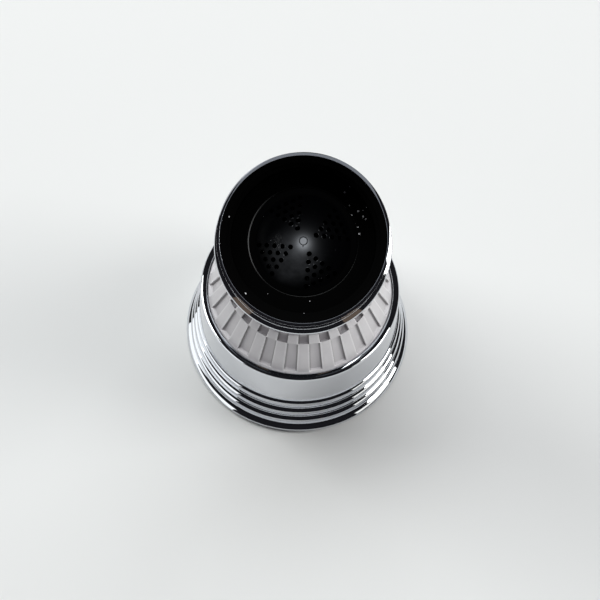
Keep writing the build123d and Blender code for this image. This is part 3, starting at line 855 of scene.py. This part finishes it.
# Skirt
class AERATOR_OT_skirt(bpy.types.Operator):
    """Model the chromed skirt with its grip rings, band and lip"""
    bl_idname = "aerator.skirt"
    bl_label = "Skirt"

    def execute(self, context):
        size = context.scene.aerator_skirt
        piece = turned("skirt", self.section(size), size.segments)
        chrome = chrome_finish(context.scene.aerator_colours)
        finish_piece(piece, chrome, "skirt", "skirt_shell")
        return {"FINISHED"}

    @staticmethod
    def section(size):
        """Corners of the skirt's section, from the base up and back down the bore."""
        yield size.plate_radius, 0, size.edge_round
        radius = size.base_radius - size.ring_lean
        yield radius, 0, size.edge_round
        for top, run in zip(size.ring_tops, size.ring_shoulders):
            radius += size.ring_lean
            rise = run * size.shoulder_rise
            swell = run * size.shoulder_bulge
            edge_round, swell_round = run / 10, run / 4
            yield radius, top - rise, edge_round
            yield radius - run / 2 + swell, top - rise / 2 + swell, swell_round
            radius -= run
            yield radius, top, size.edge_round / 2
        mouth = size.lip_radius - size.lip_width
        yield size.lip_radius, size.height, size.lip_round
        yield mouth, size.height, size.edge_round
        yield mouth, size.ledge_top, size.edge_round
        yield size.ledge, size.ledge_top, size.edge_round
        yield size.ledge, size.ledge_top - size.ledge_thickness, size.edge_round
        yield size.bore, size.ledge_top - size.ledge_thickness
        yield size.bore, size.plate_top
        yield size.plate_radius, size.plate_top


# Spray plate
class AERATOR_OT_outlet(bpy.types.Operator):
    """Model the spray plate and finish the aerator that stands in its well"""
    bl_idname = "aerator.outlet"
    bl_label = "Outlet"

    def execute(self, context):
        size = context.scene.aerator_outlet
        colours = context.scene.aerator_colours
        piece = turned("spray_face", self.section(size), size.segments)
        drill(piece, size.hole, self.holes(size), size.foot - size.hole, size.foot + 2 * size.thickness)
        finish_piece(piece, outlet_finish(colours), "skirt", "spray_plate")
        paint_nodes(outlet_finish(colours), "outlet_grid")
        paint_nodes(inner_finish(colours), "aerator_housing", "mixing_disc", "flow_plate")
        paint_nodes(steel_finish(colours), "lower_mesh", "upper_mesh")
        paint_nodes(rubber_finish(colours), "well_seal", "housing_gasket")
        return {"FINISHED"}

    @staticmethod
    def section(size):
        """Corners of the plate and the well's wall."""
        bore = size.well - size.well_wall
        top = plate_high.z
        yield bore - size.step_width, size.foot, size.edge_round
        yield size.radius, size.foot, size.edge_round
        yield size.radius, size.foot + size.thickness
        yield size.well, size.foot + size.thickness
        yield size.well, size.groove_low
        yield size.groove_floor, size.groove_low
        yield size.groove_floor, size.groove_high
        yield size.well, size.groove_high
        yield size.well, top, size.edge_round
        yield bore, top, size.edge_round
        yield bore, size.foot + size.step_height
        yield bore - size.step_width, size.foot + size.step_height

    @staticmethod
    def holes(size):
        """Places of the spray holes."""
        for radius, count in ((size.inner_row, size.inner_count), (size.outer_row, size.outer_count)):
            for index in range(count):
                angle = math.tau * index / count
                yield radius * math.cos(angle), radius * math.sin(angle)


# Ribbed cap
class AERATOR_OT_cap(bpy.types.Operator):
    """Model the white cap with its two tiers of staggered ribs"""
    bl_idname = "aerator.cap"
    bl_label = "Ribbed cap"

    def execute(self, context):
        size = context.scene.aerator_cap
        self.measure(size)
        piece = turned("ribbed_head", self.section(size), 2 * size.ribs * size.rib_segments)
        self.carve_grooves(piece, size)
        self.carve_panels(piece, size)
        tidy_mesh()
        fill_openings()
        tidy_mesh()
        select("EDGE", "DESELECT")
        bpy.ops.mesh.edges_select_sharp(sharpness=size.edge_angle)
        bpy.ops.mesh.bevel(
            offset=size.edge_round, segments=size.edge_steps, affect="EDGES", clamp_overlap=True)
        only_selected(piece)
        piece.rotation_euler.z = size.turn
        bpy.ops.object.transform_apply(location=True, rotation=True, scale=True)
        white = self.finish(context.scene.aerator_colours, size)
        finish_piece(piece, white, "core", "ribbed_cap", smooth=size.smooth_angle)
        return {"FINISHED"}

    def measure(self, size):
        """Work out the circles that the tiers begin and end on."""
        self.tier_foot = size.base + size.edge_height
        self.tier_radius = size.edge_radius - size.edge_taper
        self.tier_break = self.tier_foot + size.tier_rise
        self.break_radius = self.tier_radius - size.tier_run
        self.top = self.tier_break + size.top_rise
        self.top_radius = self.break_radius - size.top_run
        self.groove_foot = self.tier_foot + size.groove_foot
        self.block_foot = self.tier_break - size.block_drop
        self.panel_radius = self.top_radius - size.panel_top

    def finish(self, colours, size):
        """White finish whose painted shade and painted highlight follow the slopes, the ribs and the heights of
        the tiers.
        """
        lower, upper = size.tier_run / size.tier_rise, size.top_run / size.top_rise
        slopes = {
            "Lower radius": self.tier_radius + lower * self.tier_foot, "Lower lean": lower,
            "Upper radius": self.break_radius + upper * self.tier_break, "Upper lean": upper}
        ribs = {"Ribs": size.ribs, "Turn": size.turn, "Reach": size.shade_and_highlight_reach}
        heights = {"Foot": self.groove_foot - size.edge_round, "Top": self.top - size.edge_round}
        return white_finish(colours, slopes, ribs, heights)

    def lower_radius(self, size, height):
        """Radius of the lower tier at a height."""
        return self.tier_radius - size.tier_run * (height - self.tier_foot) / size.tier_rise

    def section(self, size):
        """Corners of the cap's section, with the circles that the carving starts from."""
        roof_under = self.top - size.roof
        boss_top = self.top + size.boss_height
        yield size.bore, size.base
        yield size.edge_radius, size.base
        yield size.edge_radius, self.tier_foot - size.edge_taper
        yield self.tier_radius, self.tier_foot
        yield self.lower_radius(size, self.groove_foot), self.groove_foot
        yield self.lower_radius(size, self.block_foot), self.block_foot
        yield self.break_radius, self.tier_break
        yield self.top_radius, self.top
        yield self.panel_radius, self.top
        yield size.boss_radius, self.top
        yield size.boss_radius, boss_top
        yield size.stem_hole, boss_top
        yield size.stem_hole, roof_under
        yield size.roof_reach, roof_under
        yield size.bore, size.base + size.bore_height

    @staticmethod
    def in_sectors(size, place, over_rib):
        """Whether a point lies over a rib, or else over a groove; the X axis has a groove."""
        pitch = math.tau / size.ribs
        angle = math.atan2(place.y, place.x)
        if over_rib:
            angle += pitch / 2
        off = (angle + pitch / 2) % pitch - pitch / 2
        return abs(off) < pitch / 4

    def carve_grooves(self, piece, size):
        """Sink the lower tier between the ribs."""
        def in_groove(face):
            middle = face.calc_center_median()
            inside = self.lower_radius(size, middle.z) - size.groove_depth / 5
            return (self.groove_foot < middle.z < self.block_foot and middle.xy.length > inside
                    and self.in_sectors(size, middle, over_rib=False))

        start = self.lower_radius(size, self.groove_foot), self.groove_foot
        end = self.lower_radius(size, self.block_foot), self.block_foot
        self.carve(piece, in_groove, start, (
            (start[0] - size.groove_depth, start[1]), (end[0] - size.groove_depth, end[1]), end))

    def carve_panels(self, piece, size):
        """Sink the upper tier over the ribs, between the blocks."""
        def in_panel(face):
            middle = face.calc_center_median()
            return (self.block_foot < middle.z < self.top + NEAR and middle.xy.length > self.panel_radius
                    and self.in_sectors(size, middle, over_rib=True))

        start = self.lower_radius(size, self.block_foot), self.block_foot
        self.carve(piece, in_panel, start, (
            (start[0] - size.panel_edge, start[1]), (start[0] - size.panel_edge, start[1] - size.panel_drop),
            (start[0] - size.panel_ledge, start[1] - size.panel_drop), (self.panel_radius, self.top)))

    @staticmethod
    def carve(piece, is_cut, start, path):
        """Take faces away and close the openings along a path from their lower edge."""
        pick(piece, "FACE", is_cut)
        bpy.ops.mesh.delete(type="FACE")
        pick(piece, "EDGE", lambda edge: edge.is_boundary and on_ring(edge, *start))
        sweep(start, path)
        bpy.ops.mesh.select_all(action="SELECT")
        bpy.ops.mesh.remove_doubles(threshold=MERGE)


# Core, ball and stem
class AERATOR_OT_stem(bpy.types.Operator):
    """Model the ball and its stem, and finish the core that it turns in"""
    bl_idname = "aerator.stem"
    bl_label = "Ball and core"

    def execute(self, context):
        size = context.scene.aerator_stem
        colours = context.scene.aerator_colours
        piece = turned("swivel_ball", self.section(size), size.segments)
        chrome = ball_finish(colours, pivot.z + size.plated)
        finish_piece(piece, chrome, "ball", "ball_stem")
        paint_nodes(inner_finish(colours), "core_body")
        paint_nodes(rubber_finish(colours), "piston_seal", "stem_seal")
        paint_nodes(steel_finish(colours), "stem_clip")
        return {"FINISHED"}

    @staticmethod
    def section(size):
        """Corners of the stem, up over the ball and back down the water way."""
        foot, top = stem_low.z, stem_high.z
        yield size.bore, foot
        yield size.journal, foot, size.edge_round
        for floor, low, high in (
            (size.clip_floor, size.clip_low, size.clip_high),
            (size.seal_floor, size.seal_low, size.seal_high),
        ):
            yield size.journal, low
            yield floor, low
            yield floor, high
            yield size.journal, high
        yield size.journal, size.shoulder
        yield size.stem, size.shoulder, size.edge_round
        start = -math.acos(size.stem / size.ball)
        end = math.asin((top - pivot.z) / size.ball)
        yield from arc(size.ball, pivot.z, start, end, size.ball_steps)
        yield size.mouth, top, size.edge_round
        yield size.bore, top - (size.mouth - size.bore)


# Collar
class AERATOR_OT_collar(bpy.types.Operator):
    """Model the chromed sleeve of the inlet with its rim, flange and bead"""
    bl_idname = "aerator.collar"
    bl_label = "Collar"

    def execute(self, context):
        size = context.scene.aerator_collar
        piece = turned("collar_sleeve", self.section(size), size.segments)
        chrome = chrome_finish(context.scene.aerator_colours)
        finish_piece(piece, chrome, "inlet", "collar_shell", tipped=True)
        return {"FINISHED"}

    @staticmethod
    def section(size):
        """Corners of the sleeve, from the hem out over the flange and up to the rim."""
        root = size.rim_radius + size.draft
        edge = root + size.flange
        flange_top = size.foot + size.bead_height
        hem_top = size.foot + size.hem_thickness
        small = size.bead_depth / 4
        yield root - size.wall - size.hem, size.foot, small
        yield edge, size.foot, small
        yield edge + size.bead_depth, size.foot + size.bead_height / 2, small
        yield edge, flange_top, small
        yield root, flange_top + size.flange_rise, small
        yield size.rim_radius, size.rim_height - size.rim_slope, size.rim_round
        yield size.rim_radius - size.wall + size.rim_edge, size.rim_height, size.rim_round
        yield size.rim_radius - size.wall, size.rim_height, size.rim_round
        yield root - size.wall, hem_top
        yield root - size.wall - size.hem, hem_top, small


# Socket and washer
class AERATOR_OT_socket(bpy.types.Operator):
    """Model the black insert with the inlet thread, and the rubber washer in it"""
    bl_idname = "aerator.socket"
    bl_label = "Socket and washer"

    def execute(self, context):
        size = context.scene.aerator_socket
        colours = context.scene.aerator_colours
        black = black_finish(colours)
        piece = turned("inlet_insert", self.section(size), size.segments)
        join(piece, self.thread(size))
        finish_piece(piece, black, "inlet", "inlet_socket", tipped=True)
        washer = turned("washer_ring", self.washer_section(size), size.washer_segments)
        # The washer's finish has a painted highlight on one side of its inner edge
        worn = washer_finish(colours, size.washer_inner + size.washer_round)
        finish_piece(washer, worn, "inlet", "inlet_washer", tipped=True)
        paint_nodes(black, "ball_retainer")
        paint_nodes(inner_finish(colours), "ball_seat")
        return {"FINISHED"}

    @staticmethod
    def section(size):
        """Corners of the insert, from its foot up the outside and down the inside."""
        small = (size.outer_top - size.major) / 6
        lip_angle = math.asin(size.lip_height / size.ball_bore)
        yield size.flare, size.foot
        yield size.outer_foot, size.foot, small
        yield size.outer_top, size.top, small
        yield size.major, size.thread_top
        yield size.major, size.washer_floor
        yield size.strainer_seat, size.washer_floor
        yield size.strainer_seat, size.strainer_floor
        yield size.seat_radius, size.strainer_floor
        yield size.seat_radius, size.seat_floor
        yield size.ball_bore, size.seat_floor
        yield from arc(size.ball_bore, 0, 0, lip_angle, size.bore_steps)

    @staticmethod
    def thread(size):
        """Helical ridge of the inlet thread, closed at its ends."""
        # Half widths of the ridge; its root sinks a little into the insert
        half_root, half_crest = size.pitch * 7 / 16, size.pitch / 8
        root = size.major + size.pitch / 50
        middle = size.thread_foot + half_root
        ridge = draw_section("thread_ridge", [
            (root, middle - half_root), (size.minor, middle - half_crest),
            (size.minor, middle + half_crest), (root, middle + half_root)])
        only_selected(ridge)
        apply_modifier(
            ridge, "SCREW", axis="Z", angle=math.tau, screw_offset=size.pitch, iterations=size.turns,
            steps=size.turn_segments, render_steps=size.turn_segments)
        bpy.ops.object.mode_set(mode="EDIT")
        fill_openings()
        tidy_mesh()
        return ridge

    @staticmethod
    def washer_section(size):
        """Corners of the washer."""
        top = size.washer_floor + size.washer_height
        yield size.washer_inner, size.washer_floor, size.washer_round
        yield size.washer_outer, size.washer_floor, size.washer_round
        yield size.washer_outer, top, size.washer_round
        yield size.washer_inner, top, size.washer_round


# Strainer
class AERATOR_OT_strainer(bpy.types.Operator):
    """Model the strainer dome with its groups of round holes and the ring left by the gate"""
    bl_idname = "aerator.strainer"
    bl_label = "Strainer"

    RIM_SIDES = 8               # facets round the section of a hole's rim
    GATE_SIDES = 48             # facets round the gate's button
    GATE_RING_SIDES = 12        # facets round the section of its ring
    TAIL_SIDES = 16             # facets round the gate's tail
    TAIL_SHAPE = (1, 2, 0.7)    # how far the tail is drawn out and flattened

    def execute(self, context):
        size = context.scene.aerator_strainer
        flange_top = size.floor + size.thickness
        self.centre = flange_top - math.sqrt(size.sphere**2 - size.foot_radius**2)
        piece = self.cap_of_sphere("strainer", size, size.sphere, flange_top)
        pick(piece, "EDGE", lambda edge: edge.is_boundary)
        sweep((size.foot_radius, flange_top), (
            (size.flange_radius, flange_top), (size.flange_radius, size.floor)))
        join(piece, self.cap_of_sphere("inner_dome", size, size.sphere - size.thickness, size.floor))
        bpy.ops.object.mode_set(mode="EDIT")
        pick(piece, "EDGE", lambda edge: edge.is_boundary)
        bpy.ops.mesh.bridge_edge_loops()
        tidy_mesh()
        places = list(self.holes(size))
        drill(piece, size.hole, places, size.floor - size.hole, self.centre + size.sphere + size.hole)
        join(piece, self.hole_rims(size, places), self.gate(size))
        dark = strainer_finish(context.scene.aerator_colours, size.foot_radius)
        finish_piece(piece, dark, "inlet", "strainer_dome", tipped=True)
        return {"FINISHED"}

    def cap_of_sphere(self, name, size, radius, height):
        """Part of a sphere above a height, left open below."""
        piece = new_piece(
            name, bpy.ops.mesh.primitive_uv_sphere_add, segments=size.segments, ring_count=size.segments // 2,
            radius=radius)
        bpy.ops.transform.translate(value=(0, 0, self.centre))
        bpy.ops.mesh.bisect(plane_co=(0, 0, height), plane_no=(0, 0, 1), clear_inner=True)
        return piece

    @staticmethod
    def holes(size):
        """Places of the holes: triangular groups that point at the middle."""
        for group in range(size.groups):
            turn = Matrix.Rotation(size.turn + math.tau * group / size.groups, 2)
            for row in range(size.rows):
                for column in range(row + 1):
                    place = Vector((
                        size.first_hole + row * size.pitch * math.sqrt(0.75),
                        (column - row / 2) * size.pitch))
                    yield tuple(turn @ place)

    def lift_to_dome(self, piece, size):
        """Shift the points of flat marks up onto the dome."""
        mesh = bmesh.from_edit_mesh(piece.data)
        for vert in mesh.verts:
            vert.co.z += self.centre + math.sqrt(size.sphere**2 - vert.co.x**2 - vert.co.y**2)
        bmesh.update_edit_mesh(piece.data)

    def hole_rims(self, size, places):
        """Thin raised rims round the holes."""
        rims = new_piece(
            "hole_rims", bpy.ops.mesh.primitive_torus_add, major_radius=size.hole + size.hole_rim / 2,
            minor_radius=size.hole_rim, major_segments=HOLE_SIDES, minor_segments=self.RIM_SIDES)
        copy_to(places, 0)
        self.lift_to_dome(rims, size)
        return rims

    def gate(self, size):
        """Button with a raised edge and a small tail, where the plastic was cut from its gate."""
        mark = new_piece(
            "gate_mark", bpy.ops.mesh.primitive_torus_add, major_radius=size.gate,
            minor_radius=size.gate_ring, major_segments=self.GATE_SIDES, minor_segments=self.GATE_RING_SIDES)
        bpy.ops.mesh.primitive_cylinder_add(
            vertices=self.GATE_SIDES, radius=size.gate, depth=size.gate_ring)
        tail = Vector((0, -size.gate - 2 * size.gate_ring, 0))
        bpy.ops.mesh.select_all(action="DESELECT")
        bpy.ops.mesh.primitive_uv_sphere_add(
            segments=self.TAIL_SIDES, ring_count=self.TAIL_SIDES // 2, radius=size.gate_ring, location=tail)
        bpy.ops.transform.resize(value=self.TAIL_SHAPE, center_override=tail)
        self.lift_to_dome(mark, size)
        return mark


# Stage
class AERATOR_OT_stage(bpy.types.Operator):
    """Set the floor, the soft lights and the camera"""
    bl_idname = "aerator.stage"
    bl_label = "Stage"

    # Name, azimuth and elevation in degrees, distance, width and height, brightness and colour
    LIGHTS = (
        ("right_light", 4, 30, 0.80, 0.34, 0.34, 6.0, (1.0, 1.0, 0.98)),
        ("right_top", 0, 60, 0.80, 0.40, 0.40, 1.8, (0.97, 0.98, 1.0)),
        ("left_light", 157, 35, 0.80, 0.42, 0.36, 4.2, (0.98, 1.0, 0.99)),
        ("left_fill", 157, 35, 0.80, 0.42, 0.36, 3.0, (0.98, 1.0, 0.99)),
        ("back_left", 116, 64, 0.90, 0.50, 0.50, 4.4, (0.95, 0.98, 1.0)),
        ("back_right", 65, 50, 0.90, 0.40, 0.50, 2.4, (0.95, 0.98, 1.0)),
        ("rim_card", -90, 88, 0.85, 1.10, 0.90, 0.26, (0.88, 0.93, 1.0)),
        ("cap_fill", -96, 66, 0.60, 1.00, 0.50, 0.85, (0.98, 0.97, 1.0)),
        ("right_streak", -10, 32, 0.80, 0.38, 0.34, 6.1, (1.0, 1.0, 0.96)),
        ("right_wall", -24, 13, 0.60, 0.34, 0.17, 1.2, (1.0, 1.0, 0.95)),
        ("left_streak", 165, 40, 0.80, 0.46, 0.40, 5.7, (0.98, 1.0, 0.96)),
        ("left_wall", 192, 14, 0.60, 0.80, 0.24, 1.4, (0.97, 1.0, 1.0)),
        ("dome_lamp", -90, 65, 0.60, 0.17, 0.17, 18.0, (0.88, 0.93, 1.0)),
        ("back_card", 132, 36, 0.70, 1.10, 0.60, 0.55, (0.95, 0.98, 1.0)),
        ("left_warm", 234, 20, 0.50, 0.11, 0.13, 0.13, (1.0, 0.74, 0.54)),
        ("right_warm", 304, 20, 0.50, 0.10, 0.13, 0.13, (1.0, 0.74, 0.54)),
    )
    # Lights that leave some pieces out, or reach only some
    LINKING = (
        (("right_light", "right_top", "left_fill", "back_left", "back_right"), "EXCLUDE",
         ("strainer", "skirt", "collar_sleeve")),
        (("left_light",), "EXCLUDE", ("strainer", "skirt", "collar_sleeve", "ribbed_head")),
        (("cap_fill",), "INCLUDE", ("ribbed_head",)),
        (("right_streak",), "INCLUDE", ("skirt", "collar_sleeve")),
        (("left_streak", "right_wall", "left_wall"), "INCLUDE", ("skirt",)),
        (("dome_lamp",), "INCLUDE", ("strainer",)),
        (("rim_card", "back_card", "left_warm", "right_warm"), "INCLUDE", ("collar_sleeve",)),
    )

    def execute(self, context):
        look = context.scene.aerator_stage
        floor = new_piece("floor", bpy.ops.mesh.primitive_plane_add, size=look.floor_size)
        bpy.ops.transform.translate(value=(0, 0, -look.floor_drop))
        bpy.ops.object.mode_set(mode="OBJECT")
        floor.data.materials.append(floor_finish(look))
        for light in self.LIGHTS:
            self.soft_light(*light)
        for lights, state, pieces in self.LINKING:
            self.link_lights(lights, state, pieces)
        self.surroundings(context.scene, look)
        self.camera(context.scene, look)
        context.scene.view_settings.view_transform = "Standard"
        return {"FINISHED"}

    @staticmethod
    def soft_light(name, azimuth, elevation, distance, width, height, brightness, tint):
        """Rectangular light that faces the object."""
        turn, rise = math.radians(azimuth), math.radians(elevation)
        away = Vector((math.cos(turn) * math.cos(rise), math.sin(turn) * math.cos(rise), math.sin(rise)))
        bpy.ops.object.light_add(type="AREA", location=away * distance)
        light = bpy.context.object
        light.name = light.data.name = name
        light.rotation_euler = away.to_track_quat("Z", "Y").to_euler()
        light.data.shape = "RECTANGLE"
        light.data.size, light.data.size_y = width, height
        light.data.energy = brightness * math.pi * width * height
        light.data.color = tint
        light.visible_camera = False

    @staticmethod
    def link_lights(lights, state, pieces):
        """Let lights leave these pieces out, or reach only them."""
        group = bpy.data.collections.new(f"{state} {' '.join(pieces)}")
        for piece in pieces:
            group.objects.link(bpy.data.objects[piece])
        for member in group.collection_objects:
            member.light_linking.link_state = state
        for light in lights:
            bpy.data.objects[light].light_linking.receiver_collection = group

    @staticmethod
    def surroundings(scene, look):
        """Dim room for the reflections, behind a pale backdrop."""
        world = bpy.data.worlds.new("room")
        world.use_nodes = True
        tree = world.node_tree
        room = tree.nodes["Background"]
        feed(tree, room.inputs, {"Color": (*look.room, 1)})
        backdrop = add_node(tree, "Background", {"Color": (*look.backdrop, 1)})
        seen = tree.nodes.new("ShaderNodeLightPath").outputs["Is Camera Ray"]
        mix = add_node(tree, "MixShader", {"Fac": seen, 1: room.outputs[0], 2: backdrop.outputs[0]})
        feed(tree, tree.nodes["World Output"].inputs, {"Surface": mix.outputs[0]})
        scene.world = world

    @staticmethod
    def camera(scene, look):
        """Camera at the picture's angle, aimed so that the base's centre falls on its pixel."""
        sine, cosine = math.sin(look.elevation), math.cos(look.elevation)
        back = Vector((0, -cosine, sine))
        level, upright = Vector((1, 0, 0)), Vector((0, sine, cosine))
        right = level * math.cos(look.roll) + upright * math.sin(look.roll)
        up = upright * math.cos(look.roll) - level * math.sin(look.roll)
        bpy.ops.object.camera_add()
        camera = bpy.context.object
        camera.name = camera.data.name = "camera"
        camera.data.lens = look.lens
        pixels = look.lens / camera.data.sensor_width * FRAME_PIXELS
        across = (FRAME_PIXELS / 2 - look.base_across) / pixels
        rise = (look.base_down - FRAME_PIXELS / 2) / pixels
        ahead = (right * across + up * rise - back).normalized()
        right = ahead.cross(up).normalized()
        up = right.cross(ahead)
        turn = Matrix((right, up, -ahead)).transposed().to_4x4()
        camera.matrix_world = Matrix.Translation(back * look.distance) @ turn
        camera.data.clip_start = 10 * MM
        scene.camera = camera


OPERATORS = (
    AERATOR_OT_skirt, AERATOR_OT_outlet, AERATOR_OT_cap, AERATOR_OT_stem, AERATOR_OT_collar,
    AERATOR_OT_socket, AERATOR_OT_strainer, AERATOR_OT_stage,
)


class AERATOR_PT_pieces(bpy.types.Panel):
    """Panel with the pieces and their sizes"""
    bl_idname = "AERATOR_PT_pieces"
    bl_label = "Swivel tap aerator"
    bl_space_type = "VIEW_3D"
    bl_region_type = "UI"
    bl_category = "Aerator"

    def draw(self, context):
        for operator in OPERATORS:
            self.layout.operator(operator.bl_idname)
        for name, group in SETTINGS.items():
            box = self.layout.box()
            box.label(text=group.__doc__)
            for label in group.__annotations__:
                box.prop(getattr(context.scene, name), label)


CLASSES = (*SETTINGS.values(), *OPERATORS, AERATOR_PT_pieces)


def register():
    """Register the classes and their settings."""
    for item in CLASSES:
        bpy.utils.register_class(item)
    for name, group in SETTINGS.items():
        setattr(bpy.types.Scene, name, PointerProperty(type=group))


def unregister():
    """Take the settings and the classes away again."""
    for name in SETTINGS:
        delattr(bpy.types.Scene, name)
    for item in reversed(CLASSES):
        bpy.utils.unregister_class(item)


def main():
    """Register the settings that hold the sizes, model every piece and set the stage."""
    register()
    bpy.ops.aerator.skirt()
    bpy.ops.aerator.outlet()
    bpy.ops.aerator.cap()
    bpy.ops.aerator.stem()
    bpy.ops.aerator.collar()
    bpy.ops.aerator.socket()
    bpy.ops.aerator.strainer()
    bpy.ops.aerator.stage()


if __name__ == "__main__":
    main()
